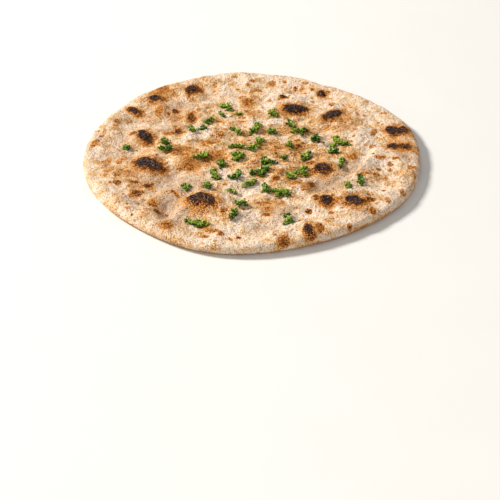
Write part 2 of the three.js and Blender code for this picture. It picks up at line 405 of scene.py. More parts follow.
        (-45, -80, 16, 12, 0, 0.4), (60, 26, 14, 14, 0, 0.35), (0, -45, 14, 10, 0, -0.7),
        (18, -76, 20, 12, 20, -0.9), (-15, -88, 20, 12, 0, -0.5), (-74, -56, 14, 22, 30, 0.1),
        (-94, -5, 8, 24, 0, -0.2), (10, 33, 20, 8, 10, -0.4), (80, -50, 12, 20, 20, -0.4),
        (-2, 92, 60, 8, 0, -0.2), (-60, 48, 24, 30, 0, 0.12), (-10, 62, 28, 20, 0, 0.3),
        (60, 34, 16, 24, 0, 0.3), (60, -19, 18, 16, 0, 0.2), (92, -4, 12, 20, 0, 0.15),
        (-32, -10, 26, 22, 0, 0.2), (-15, -4, 12, 14, 0, 0.35), (46, -36, 14, 12, 0, 0.25),
        (0, 46, 30, 14, 0, 0.45), (20, 40, 24, 14, 0, 0.4), (-60, 8, 16, 14, 0, 0.25),
        (-30, 18, 18, 24, 0, -0.3), (15, 4, 22, 56, 0, -0.35), (15, 26, 14, 10, 0, -0.3),
        (31, 12, 14, 16, 0, -0.25), (76, 0, 18, 30, 0, -0.35), (-15, -22, 14, 14, 0, -0.3),
        (-2, -35, 18, 12, 0, -0.25), (0, -73, 18, 20, 0, -0.3), (-46, -22, 12, 14, 0, -0.3),
    ],

    # Painted shade: darker, greyer crust where the hollows lie in shade, from 0 to 1; where the table goes
    # past 1 the middle stays even.
    "paintedShades": [
        (-45, -35, 42, 24, 0, 1.4), (-60, 42, 22, 20, 0, 0.75), (-75, 12, 22, 34, 0, 0.85),
        (-80, -6, 20, 18, 0, 0.75), (91, -4, 14, 20, 0, 1.5), (-46, -66, 20, 26, 0, 1.9),
        (-46, 56, 22, 16, 0, 1.4), (60, -19, 18, 14, 0, 1.4), (-28, 72, 12, 16, 0, 0.6),
        (44, -35, 20, 14, 0, 1.5), (-10, 62, 14, 16, 0, 0.3), (88, -36, 10, 24, 20, 0.3),
        (44, -90, 30, 8, 28, 0.7), (8, -79, 18, 8, 15, 0.5), (-45, 25, 16, 14, 0, 1.3),
        (-66, -53, 18, 14, 0, 0.8), (-60, 27, 12, 12, 0, 0.4), (60, 26, 14, 14, 0, 0.35),
        (-44, -83, 16, 10, 0, 0.5), (15, -66, 16, 12, 0, 1.1), (60, -67, 16, 9, 20, 1.2),
        (72, 42, 14, 14, 0, 0.4), (46, 57, 12, 10, 0, 0.3), (93, 12, 8, 10, 0, 0.6),
        (92, 30, 8, 10, 0, 0.5), (-30, -42, 14, 8, 0, 0.6), (-15, 71, 12, 12, 0, 0.6),
        (74, 67, 12, 10, 0, 0.5), (30, -50, 10, 8, 0, 0.5), (76, -50, 10, 10, 0, 0.45),
        (-30, 41, 12, 10, 0, 0.4), (-68, -20, 16, 12, 0, 0.35), (-97, 8, 6, 36, 0, 0.5),
        (-94, -30, 8, 26, 25, 0.4),
    ],

    # Hollows and humps between the burnt blisters, with their height in mm.
    "swells": [
        (-46, -27, 13, 24, 15, -1.3), (-70, 37, 22, 10, 10, -0.9), (-27, 72, 12, 20, 0, -1.0),
        (42, -36, 18, 12, 10, -1.3), (9, -78, 20, 10, 20, -1.1), (-46, -64, 11, 18, 0, -1.6),
        (26, 79, 12, 12, 0, -0.7), (-17, 46, 10, 12, 0, -0.5), (-46, 36, 12, 14, 0, -0.6),
        (50, 6, 16, 12, 0, -0.6), (-12, -24, 16, 12, 0, -0.4), (70, -38, 16, 10, 0, -0.6),
        (-33, 18, 16, 12, 25, 0.9), (70, -12, 14, 14, 0, 0.45), (-44, -70, 8, 15, 0, 0.9),
        (0, -46, 14, 10, 0, 0.6), (11, 53, 8, 18, 0, 0.6), (66, 18, 12, 24, 0, 0.6),
        (-38, -12, 14, 14, 0, 0.5), (18, 0, 18, 14, 0, 0.5), (-76, -56, 12, 24, 30, 0.4),
        (62, -72, 20, 10, 30, 0.3), (-56, 52, 12, 12, 0, 0.5), (12, -28, 12, 12, 0, 0.5),
        (-84, -22, 12, 16, 0, 0.5), (30, 66, 14, 10, 0, 0.5), (86, -10, 10, 18, 0, 0.5),
    ],

    # Raised lips where a bubble has lifted the crust: the edge's points, the lift, how fast it dies away
    # (mm). The crust is lifted on the right-hand side of the way from the first point to the last.
    "lips": [
        ([(52, -33), (58, -26), (64, -17), (70, -6), (73, 10)], 0.85, 13),
        ([(26, -60), (35, -48), (50, -43), (70, -45)], 1.3, 15),
        ([(2, -92), (12, -84), (22, -77), (36, -72)], 1.0, 12),
        ([(-58, -55), (-52, -46), (-45, -42), (-36, -43)], 0.9, 9),
        ([(-43, -76), (-43, -66), (-38, -57), (-36, -47)], 0.8, 9),
        ([(-58, -88), (-56, -78), (-48, -74), (-39, -77)], 0.7, 8),
        ([(-46, 13), (-38, 16), (-29, 23), (-20, 30)], 0.7, 10),
        ([(12, 45), (13, 55), (20, 60)], 0.7, 8),
        ([(40, 36), (41, 42), (47, 49)], 0.7, 8),
        ([(-72, 8), (-74, 18), (-70, 27)], 0.6, 7),
        ([(-4, 35), (6, 38), (18, 37)], 0.4, 7),
    ],

    # Narrow creases: points, then depth and width (mm).
    "creases": [
        ([(-80, -18), (-74, -20), (-67, -24)], 0.5, 1.3),
        ([(-48, 30), (-45.5, 22), (-42, 11)], 0.6, 1.8),
        ([(-53, -20), (-51, -30), (-56, -38)], 0.7, 4.5),
        ([(-92, -45), (-84, -54), (-74, -63)], 0.3, 1.2),
        ([(0, -56), (8, -55.5), (17, -56)], 0.5, 1.3),
        ([(62, 6), (67, 10), (70, 16)], 0.4, 1.3),
        ([(30, -43), (38, -42), (45, -38)], 0.6, 4.0),
        ([(-52, -66), (-47, -60), (-48, -54)], 0.7, 4.0),
        ([(-60, -70), (-66, -66), (-72, -68)], 0.3, 1.2),
        ([(84, -36), (90, -32), (94, -24)], 0.3, 1.5),
    ],
}


def smoothShell():
    # the CAD bread with its facets smoothed, to measure heights from
    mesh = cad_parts["roti"].data.copy()
    soft = bmesh.new()
    soft.from_mesh(mesh)
    bmesh.ops.remove_doubles(soft, verts=soft.verts, dist=0.01 * mm)
    bmesh.ops.join_triangles(
        soft, faces=soft.faces, angle_face_threshold=1.0, angle_shape_threshold=1.0, cmp_seam=False
    )
    soft.to_mesh(mesh)
    soft.free()
    obj = bpy.data.objects.new("smoothShell", mesh)
    bpy.context.scene.collection.objects.link(obj)
    finer = obj.modifiers.new("finer", "SUBSURF")
    finer.levels = 2
    tree = BVHTree.FromObject(obj, bpy.context.evaluated_depsgraph_get())
    bpy.data.objects.remove(obj)
    return tree


def edgeFinder(shell):
    # distance from the middle to the outline, by direction
    count = 720
    angles = np.linspace(-math.pi, math.pi, count + 1)
    far = 2 * halfWidth
    reach = []
    for angle in angles:
        way = Vector((math.cos(angle), math.sin(angle), 0))
        hit = shell.ray_cast(way * far + Vector((0, 0, edgeHeight)), -way)[0]
        reach.append(math.hypot(hit.x, hit.y))
    return lambda angle: np.interp(angle, angles, reach)


def ringPlan():
    # rings of points from the middle of the top, over the edge, to the middle of the underside
    inner = halfWidth - bread["edgeInset"]

    def flatRings(kind, spacing):
        steps = round(inner / spacing)
        counts = [max(6, round(2 * math.pi * inner * i / steps / spacing)) for i in range(1, steps + 1)]
        return [(kind, (i + 1) / steps, count) for i, count in enumerate(counts)]

    top = flatRings("top", bread["topSpacing"])
    under = flatRings("under", bread["underSpacing"])
    tilts = [90 - 180 * i / bread["edgeSteps"] for i in range(1, bread["edgeSteps"])]
    return top + [("edge", tilt, top[-1][2]) for tilt in tilts] + under[::-1]


def ringPoints(shell, edgeAt, kind, share, count):
    # one ring: share is how far out it lies, or on the edge, the tilt in degrees it is seen at
    spots = []
    for k in range(count):
        angle = -math.pi + 2 * math.pi * (k + 0.5) / count
        inner = edgeAt(angle) - bread["edgeInset"]
        way = Vector((math.cos(angle), math.sin(angle), 0))
        if kind == "edge":
            tilt = math.radians(share)
            start = way * inner + Vector((0, 0, edgeHeight))
            aim = way * math.cos(tilt) + Vector((0, 0, math.sin(tilt)))
        else:
            start = way * inner * share + Vector((0, 0, edgeHeight))
            aim = Vector((0, 0, 1 if kind == "top" else -1))
        spots.append(shell.ray_cast(start, aim)[0])
    return spots


def stitch(faces, first, countA, second, countB):
    # closes the band between two rings of points, however many each has
    i = j = 0
    while i < countA or j < countB:
        a, b = first + i % countA, second + j % countB
        if j >= countB or (i < countA and (i + 1) / countA <= (j + 1) / countB):
            i += 1
            faces.append((a, b, first + i % countA))
        else:
            j += 1
            faces.append((a, b, second + j % countB))


def shapeBread():
    # the smooth bread as points, faces, each point's level from 0 underneath to 1 on top, and its outline
    shell = smoothShell()
    edgeAt = edgeFinder(shell)
    middle = Vector((0, 0, edgeHeight))
    spots = [shell.ray_cast(middle, Vector((0, 0, 1)))[0]]
    faces, levels = [], [1.0]
    start = count = 0
    for kind, share, number in ringPlan():
        first = len(spots)
        spots += ringPoints(shell, edgeAt, kind, share, number)
        level = {"top": 1.0, "under": 0.0, "edge": (share + 90) / 180}[kind]
        levels += [level] * number
        if count:
            stitch(faces, start, count, first, number)
        else:
            faces += [(0, first + k, first + (k + 1) % number) for k in range(number)]
        start, count = first, number
    spots.append(shell.ray_cast(middle, Vector((0, 0, -1)))[0])
    levels.append(0.0)
    last = len(spots) - 1
    faces += [(start + (k + 1) % count, start + k, last) for k in range(count)]
    print("bread: %d points, %d faces" % (len(spots), len(faces)))
    return np.array([tuple(p) for p in spots]), faces, np.array(levels), edgeAt


def smoothStep(value, low, high):
    t = np.clip((value - low) / (high - low), 0, 1)
    return t * t * (3 - 2 * t)


def noiseOver(spots, size, octaves=1, seed=0, stretch=None):
    # smooth noise between about -1 and 1 at every point; size in metres, and each seed a stretch of its own
    shift = Vector((3.7 * seed + 0.31, 5.3 * seed - 0.17, 1.9 * seed))
    flat = np.array(spots, float) / size
    if stretch is not None:
        turn, ratio = math.radians(stretch[0]), stretch[1]
        along = flat[:, 0] * math.cos(turn) + flat[:, 1] * math.sin(turn)
        across = -flat[:, 0] * math.sin(turn) + flat[:, 1] * math.cos(turn)
        flat = np.stack([along / ratio, across, flat[:, 2]], 1)
    return np.array([noise.fractal(Vector(p) + shift, 1.0, 2.0, octaves) for p in flat.tolist()])


def lumpsOver(spots, rows, firstSeed):
    # lumps of several sizes on top of each other
    return sum(
        noiseOver(spots, size * mm, seed=firstSeed + i) * height * mm for i, (size, height) in enumerate(rows)
    )


def toMetres(rows):
    return [(e * percent, n * percent, l * mm, w * mm, turn, value) for e, n, l, w, turn, value in rows]


def ovalFar(x, y, east, north, length, width, turn):
    # distance from the middle of an oval, 1 on its outline
    c, s = math.cos(math.radians(turn)), math.sin(math.radians(turn))
    dx, dy = x - east, y - north
    return np.hypot((dx * c + dy * s) / (length / 2), (dy * c - dx * s) / (width / 2))


def softSum(x, y, rows):
    # adds up soft ovals
    field = np.zeros_like(x)
    for *oval, value in toMetres(rows):
        field += value * np.exp(-ovalFar(x, y, *oval) ** 2)
    return field


def patchField(x, y, east, north, length, width, turn, baked):
    far = ovalFar(x, y, east, north, length, width, turn)
    core = np.interp(baked, bread["coreBake"], bread["coreShare"])
    share, more = bread["patchFade"]
    return baked * (1 - smoothStep(far, core, share + more / min(length, width)))


def bakeField(x, y, rows):
    # how far each point is baked, by whichever patch bakes it most
    field = np.zeros_like(x)
    for east, north, length, width, turn, baked in rows:
        near = np.hypot(x - east, y - north) < 1.6 * (length + width)  # past that the patch has faded out
        if near.any():
            part = patchField(x[near], y[near], east, north, length, width, turn, baked)
            field[near] = np.maximum(field[near], part)
    return field


def haloField(x, y, rows):
    # the golden ring that fades away round each dark patch, wider on its south-east side
    field = np.zeros_like(x)
    shift = bread["haloShift"]
    for east, north, length, width, turn, baked in rows:
        if baked >= bread["haloFrom"]:
            narrow = min(length, width)
            far = ovalFar(x, y, east + shift, north - shift, length, width, turn)
            beyond = np.maximum(far - bread["haloStart"], 0) * narrow / 2
            reach = bread["haloReach"] * min(1, narrow / bread["haloFull"])
            field = np.maximum(field, bread["halo"] * np.exp(-((beyond / reach) ** bread["haloFade"])))
    return field


def anywhere(dice, reach):
    # a chance place within so many hundredths of the half width, as distance and direction
    return reach * math.sqrt(dice.random()), dice.uniform(-math.pi, math.pi)


def freckleRows(count, seed):
    # small chance spots, most of them golden
    dice = random.Random(seed)
    rows = []
    for _ in range(count):
        far, angle = anywhere(dice, 97)
        size = dice.uniform(*bread["freckleSize"]) * (1 + (dice.random() > 0.9))
        baked = dice.choice(bread["freckleBakes"])
        width, turn = size * dice.uniform(0.6, 1.5), dice.uniform(0, 180)
        rows.append((far * math.cos(angle), far * math.sin(angle), size, width, turn, baked))
    return rows


def underRows():
    # the griddle marks and freckles of the underside
    dice = random.Random(77)
    rows = []
    for _ in range(bread["underMarks"]):
        far, angle = anywhere(dice, 92)
        size = dice.uniform(*bread["underSize"])
        width, turn = size * dice.uniform(0.6, 1), dice.uniform(0, 180)
        baked = dice.choice(bread["underBakes"])
        rows.append((far * math.cos(angle), far * math.sin(angle), size, width, turn, baked))
    return rows + freckleRows(bread["underFreckles"], 78)


def wrinkleRows():
    # short chance creases: in the middle they run much one way, near the rim they follow it
    dice = random.Random(23)
    usual, stray = bread["wrinkleWay"]
    rows = []
    for _ in range(bread["wrinkles"]):
        far, angle = anywhere(dice, 96)
        if far < bread["wrinkleRim"]:
            way = dice.gauss(usual, stray)
        else:
            way = angle + math.pi / 2 + dice.gauss(0, stray)
        reach = dice.uniform(*bread["wrinkleReach"])
        bend = dice.uniform(-bread["wrinkleBend"], bread["wrinkleBend"])
        x, y = far * math.cos(angle), far * math.sin(angle)
        points = [
            (x + step * reach * math.cos(way + step * bend), y + step * reach * math.sin(way + step * bend))
            for step in (-1, 0, 1)
        ]
        rows.append((points, dice.uniform(*bread["wrinkleDepth"]), dice.uniform(*bread["wrinkleWidth"])))
    return rows


def alongLine(x, y, points):
    # signed distance to a line of points (positive on its right), and how far along it, 0 to 1
    best = np.full_like(x, 1e9)
    side = np.zeros_like(x)
    share = np.zeros_like(x)
    spots = [Vector((a * percent, b * percent)) for a, b in points]
    legs = len(spots) - 1
    for i in range(legs):
        leg = spots[i + 1] - spots[i]
        dx, dy = x - spots[i].x, y - spots[i].y
        t = np.clip((dx * leg.x + dy * leg.y) / leg.length_squared, 0, 1)
        far = np.hypot(dx - t * leg.x, dy - t * leg.y)
        nearer = far < best
        best = np.where(nearer, far, best)
        side = np.where(nearer, np.sign(dx * leg.y - dy * leg.x), side)
        share = np.where(nearer, (i + t) / legs, share)
    return best * side, share


def endsFade(share, reach):
    # 1 along a line, falling to 0 over the last stretch at either end
    return smoothStep(share, 0, reach) * (1 - smoothStep(share, 1 - reach, 1))


def lipRise(x, y, warp, points, lift, fade):
    far, share = alongLine(x, y, points)
    far = (far + warp) / mm
    depth, before, reach = bread["lipDip"]
    up = smoothStep(far, *bread["lipFront"]) * np.exp(-np.maximum(far, 0) / fade)
    dip = depth * np.exp(-((far + before) / reach) ** 2)
    return lift * mm * endsFade(share, 0.25) * (up - dip)


def creaseDip(x, y, warp, points, depth, width):
    far, share = alongLine(x, y, points)
    return -depth * mm * endsFade(share, 0.3) * np.exp(-(((far + warp) / (width * mm)) ** 2))


def reliefOver(spots):
    # extra height on top of the smooth bread, from lumps, folds, swells, lips and creases
    x, y = spots[:, 0], spots[:, 1]
    rise = softSum(x, y, bread["swells"]) * bread["swell"] * mm
    rise += lumpsOver(spots, bread["lumps"], 1)
    length, width, turn, height = bread["ripple"]
    near = 1 - smoothStep(np.hypot(x, y) / halfWidth, *bread["rippleFade"])
    rise += height * mm * near * noiseOver(spots, width * mm, seed=11, stretch=(turn, length / width))
    wander = noiseOver(spots, bread["lineWander"], 2, seed=12) * bread["wander"]
    for row in bread["lips"]:
        rise += bread["lift"] * lipRise(x, y, wander, *row)
    for row in bread["creases"] + wrinkleRows():
        rise += creaseDip(x, y, wander * bread["creaseWander"], *row)
    return rise


def bakeTop(spots, strayed):
    # how far the top is baked by its patches alone, then with halos and freckles too
    rows = [(east, north - bread["patchShift"], *rest) for east, north, *rest in toMetres(bread["patches"])]
    burnt = bakeField(*strayed(1), rows)
    least = bread["haloWeakest"]
    chance = noiseOver(spots, bread["wanderSize"], 2, seed=27)
    patchy = least + (1 - least) * smoothStep(chance, *bread["haloPatchy"])
    halo = haloField(*strayed(1.5), rows) * patchy
    freckled = bakeField(*strayed(1), toMetres(freckleRows(bread["freckles"], 5)))
    return burnt, np.maximum(np.maximum(burnt, freckled * bread["freckleShare"]), halo)


def makeBread():
    spots, faces, level, edgeAt = shapeBread()
    x, y = spots[:, 0].copy(), spots[:, 1].copy()
    strays = [noiseOver(spots, bread["wanderSize"], 3, seed) * bread["wander"] for seed in (21, 22)]

    def strayed(share):
        # every point pushed about by a share of its stray, so that no patch is a true oval
        return x + share * strays[0], y + share * strays[1]

    # how far each side is baked, how golden it is between its patches (some pale tones are painted light),
    # and the painted shade in the hollows
    top = smoothStep(level, *bread["topFrom"])
    burnt, topBake = bakeTop(spots, strayed)
    hidden = toMetres(underRows())
    underBake = np.maximum(bakeField(*strayed(1), hidden), haloField(x, y, hidden))
    toneSize, toneChance = bread["toneGrain"]
    topTone = softSum(*strayed(2), bread["tones"]) + toneChance * noiseOver(spots, toneSize, 3, seed=25)
    usualTone, underChance, underGrain = bread["underTone"]
    underTone = usualTone + underChance * noiseOver(spots, underGrain, 4, seed=43)
    # painted shade: the hollows of the table and the sunken swells are drawn darker and greyer
    sunken = softSum(x, y, [row for row in bread["swells"] if row[-1] < 0])
    shade = softSum(*strayed(2), bread["paintedShades"]) - bread["sunkenShade"] * sunken

    # the relief of the top and the dents underneath
    crumb = lumpsOver(spots, bread["crumb"], 6)
    inset = edgeAt(np.arctan2(y, x)) - np.hypot(x, y)
    calm = bread["calmRim"] + (1 - bread["calmRim"]) * smoothStep(inset, *bread["calmInset"])
    lumpSize, lumpShare = bread["blisterLumps"]
    lumpy = 1 + lumpShare * noiseOver(spots, lumpSize, 2, seed=31)
    blisters = bread["blister"] * smoothStep(burnt, *bread["blisterFrom"]) * lumpy
    dented = np.maximum(noiseOver(spots, bread["dentSize"], 4, seed=41) + bread["dentMore"], 0)
    under = 1 - smoothStep(level, 0.0, 0.3)
    spots[:, 2] += ((reliefOver(spots) + crumb) * calm + blisters) * top + under * dented * bread["dents"]

    obj = makeObject("rotiBread", spots, faces)
    paintField(obj, "bake", np.maximum(topBake * top, underBake * (1 - top)))
    paintField(obj, "tone", topTone * top + underTone * (1 - top))
    paintField(obj, "tips", smoothStep(crumb, -bread["crumbTips"], bread["crumbTips"]))
    # painted shade in the hollows of the top
    paintField(obj, "shade", np.clip(shade, 0, 1) * top)
    # the lower half of the rounded edge, which lies on the griddle
    paintField(obj, "lowEdge", smoothStep(level, 0.0, 0.1) * (1 - smoothStep(level, 0.1, 0.6)))
    fixNormals(obj)
    obj.data.materials.append(makeCrust())
    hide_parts("roti")
    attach(obj, "root")
    return obj


crustLook = {
    "floury": (0.91, 0.735, 0.575),
    "dough": (0.84, 0.56, 0.285),
    "lightGolden": (0.71, 0.345, 0.08),
    "golden": (0.60, 0.21, 0.022),
    "brown": (0.32, 0.082, 0.008),
    "darkBrown": (0.045, 0.010, 0.004),
    "char": (0.008, 0.003, 0.004),
    "paintedGlint": (0.20, 0.15, 0.165),  # painted highlights: light grains that stand for the glints on the glossy char
    # the colour that painted shade turns the hollows towards
    "hollowShade": (0.60, 0.43, 0.30),
    # painted shade in the pores of the grain
    "poreShade": (0.46, 0.265, 0.13),
    "bran": (0.18, 0.070, 0.020),
    "toneStops": [
        (0.02, "floury"), (0.30, "dough"), (0.54, "lightGolden"), (0.78, "golden"), (1.0, "brown"),
    ],
    "burnStops": [
        (0.16, "lightGolden"), (0.40, "golden"), (0.60, "brown"), (0.75, "darkBrown"), (0.88, "char"),
    ],
    "coarseGrain": 1.7 * mm,  # sizes of the grain, and of the small marks
    "fineGrain": 0.72 * mm,
    "branSize": 0.6 * mm,
    "fleckSize": 1.3 * mm,
    "clusterSize": 5 * mm,
    "paintedGlintSize": 0.75 * mm,
    "pitSize": 1.5 * mm,
    "crackleSize": 1.1 * mm,
    "baseLevel": 0.05,  # tone of the crust where nothing has browned it
    "toneWeight": 0.95,
    "coarseWeight": 0.7,
    "tipsWeight": 0.12,
    "stipple": (0.6, 2.9),  # contrast of the fine grain on floury crust, and how much more on golden
    "stippleFrom": (0.12, 0.5),
    "hollowShadeWeight": 0.85,
    "poreShadeWeight": 0.6,
    "poreGrain": (-0.6, -1.0),  # pores open where the coarse and the fine grain are low, where the bump sinks, and are darkened there with painted shade
    "poreFrom": (0.06, 0.15),
    "burnGrain": (0.8, 2.0),  # how far coarse and fine grain break up the edge of a burnt patch
    "burnGrainFrom": (0.0, 0.4),
    "edgeBurn": 0.22,  # how much more the lower edge is baked
    "burnFrom": (0.10, 0.32),
    "charFrom": (0.6, 0.95),
    "clusterWeight": 0.3,  # how much the flecks and the bran crowd together
    "fleckWeight": 0.85,
    "fleckFrom": (0.775, 0.82),
    "fleckTone": 0.04,  # how much commoner flecks are on golden crust
    "branWeight": 0.9,
    "branFrom": (0.77, 0.80),
    "branTone": 0.05,
    "branToneFrom": (0.15, 0.6),
    # where the painted glints lie: how far burnt, and at which levels of their grain
    "paintedGlintBurn": (0.72, 0.95),
    "paintedGlintFrom": (0.57, 0.63),
    "roughness": (0.82, 0.42),  # of dough, and of char
    "roughGrain": 0.4,
    "specular": 0.12,
    "subsurface": 0.08,
    "subsurfaceRadius": (1.0, 0.5, 0.25),
    "subsurfaceScale": 0.8 * mm,
    "grainDepth": 1.5 * mm,
    "fineRelief": 0.35,  # against the coarse grain's
    "pitRelief": 0.12,
    "pitFrom": (0.0, 0.4),
    "crackleDepth": 1.3 * mm,
}


def crustStops(key):
    return [(place, crustLook[name]) for place, name in crustLook[key]]


def blendCrust(tree, factor, colour, name):
    # lays one of the crust's own colours over what is there
    return blendColour(tree, factor, colour, (*crustLook[name], 1))


def doughColour(tree, level, coarse, fine):
    # broad tones, then painted shade in the hollows and in the open pores
    base = ramp(tree, level, crustStops("toneStops"))
    base = blendCrust(tree, times(tree, painted(tree, "shade"), crustLook["hollowShadeWeight"]), base, "hollowShade")
    coarseShare, fineShare = crustLook["poreGrain"]
    sunk = total(tree, times(tree, fine, fineShare), times(tree, coarse, coarseShare))
    # the pores are darkened with painted shade where both grains are low, as the bump is
    open = between(tree, sunk, *crustLook["poreFrom"])
    return blendCrust(tree, times(tree, open, crustLook["poreShadeWeight"]), base, "poreShade")


def toneLevel(tree, tone, coarse, fine):
    # how golden the crust is: its grains are toasted first, and most where it is golden already
    level = total(
        tree, times(tree, tone, crustLook["toneWeight"]), times(tree, coarse, crustLook["coarseWeight"]),
        times(tree, painted(tree, "tips"), crustLook["tipsWeight"]), crustLook["baseLevel"],
    )
    least, more = crustLook["stipple"]
    stipple = total(tree, times(tree, between(tree, level, *crustLook["stippleFrom"]), more), least)
    return total(tree, level, times(tree, fine, stipple))


def burnLevel(tree, coarse, fine):
    # how far the crust is baked: the edges of the patches break up into grains
    bake = painted(tree, "bake")
    coarseShare, fineShare = crustLook["burnGrain"]
    grains = total(tree, times(tree, coarse, coarseShare), times(tree, fine, fineShare))
    push = times(tree, grains, between(tree, bake, *crustLook["burnGrainFrom"]))
    return total(tree, bake, push, times(tree, painted(tree, "lowEdge"), crustLook["edgeBurn"]))


def smallMarks(tree, place, colour, tone, level, burn):
    # golden flecks, specks of bran, and painted highlights (glints) on the char
    streaks = grain(tree, place, crustLook["fleckSize"], 2, 0.5, 0.6)
    crowded = times(tree, grain(tree, place, crustLook["clusterSize"], 2, 0.5), crustLook["clusterWeight"])
    streaked = total(tree, streaks, crowded, times(tree, tone, crustLook["fleckTone"]))
    flecks = between(tree, streaked, *crustLook["fleckFrom"])
    colour = blendCrust(tree, times(tree, flecks, crustLook["fleckWeight"]), colour, "golden")
    specks = grain(tree, place, crustLook["branSize"], 1, 0.5)
    toasted = times(tree, between(tree, level, *crustLook["branToneFrom"]), crustLook["branTone"])
    bran = between(tree, total(tree, specks, crowded, toasted), *crustLook["branFrom"])
    colour = blendCrust(tree, times(tree, bran, crustLook["branWeight"]), colour, "bran")
    # painted highlights: light grains on the char stand for its glints
    glints = between(tree, grain(tree, place, crustLook["paintedGlintSize"], 1, 0.5), *crustLook["paintedGlintFrom"])
    paintedGlint = times(tree, between(tree, burn, *crustLook["paintedGlintBurn"]), glints)
    return blendCrust(tree, paintedGlint, colour, "paintedGlint")


def crustNormal(tree, place, coarse, fine, charred):
    # pitted grain all over, and a blistered crackle on the char
    pores = addNode(tree, "ShaderNodeTexVoronoi", {"Vector": place, "Scale": 1 / crustLook["pitSize"]})
    pits = between(tree, pores.outputs["Distance"], *crustLook["pitFrom"])
    height = total(
        tree, coarse, times(tree, fine, crustLook["fineRelief"]), times(tree, pits, crustLook["pitRelief"])
    )
    grains = bumped(tree, height, crustLook["grainDepth"])
    crackle = addNode(tree, "ShaderNodeTexVoronoi", {"Vector": place, "Scale": 1 / crustLook["crackleSize"]})
    blisters = times(tree, crackle.outputs["Distance"], charred)
    return bumped(tree, blisters, crustLook["crackleDepth"], under=grains)


def makeCrust():
    mat, tree, shader, place = newMaterial("toastedCrust")
    coarse = total(tree, grain(tree, place, crustLook["coarseGrain"], 3, 0.6), -0.5)
    fine = total(tree, grain(tree, place, crustLook["fineGrain"], 2, 0.6), -0.5)
    tone = painted(tree, "tone")
    level = toneLevel(tree, tone, coarse, fine)
    burn = burnLevel(tree, coarse, fine)
    charred = between(tree, burn, *crustLook["charFrom"])

    dough = doughColour(tree, level, coarse, fine)
    baked = ramp(tree, burn, crustStops("burnStops"))
    colour = blendColour(tree, between(tree, burn, *crustLook["burnFrom"]), dough, baked)
    colour = smallMarks(tree, place, colour, tone, level, burn)
    tree.links.new(colour, shader.inputs["Base Color"])

    # char is a little glossier than flour and crumb
    rough = spanned(tree, charred, *crustLook["roughness"])
    rough = total(tree, rough, times(tree, fine, crustLook["roughGrain"]))
    tree.links.new(rough, shader.inputs["Roughness"])
    tree.links.new(crustNormal(tree, place, coarse, fine, charred), shader.inputs["Normal"])
    shader.inputs["Subsurface Weight"].default_value = crustLook["subsurface"]
    shader.inputs["Subsurface Radius"].default_value = crustLook["subsurfaceRadius"]
    shader.inputs["Subsurface Scale"].default_value = crustLook["subsurfaceScale"]
    shader.inputs["Specular IOR Level"].default_value = crustLook["specular"]
    return mat


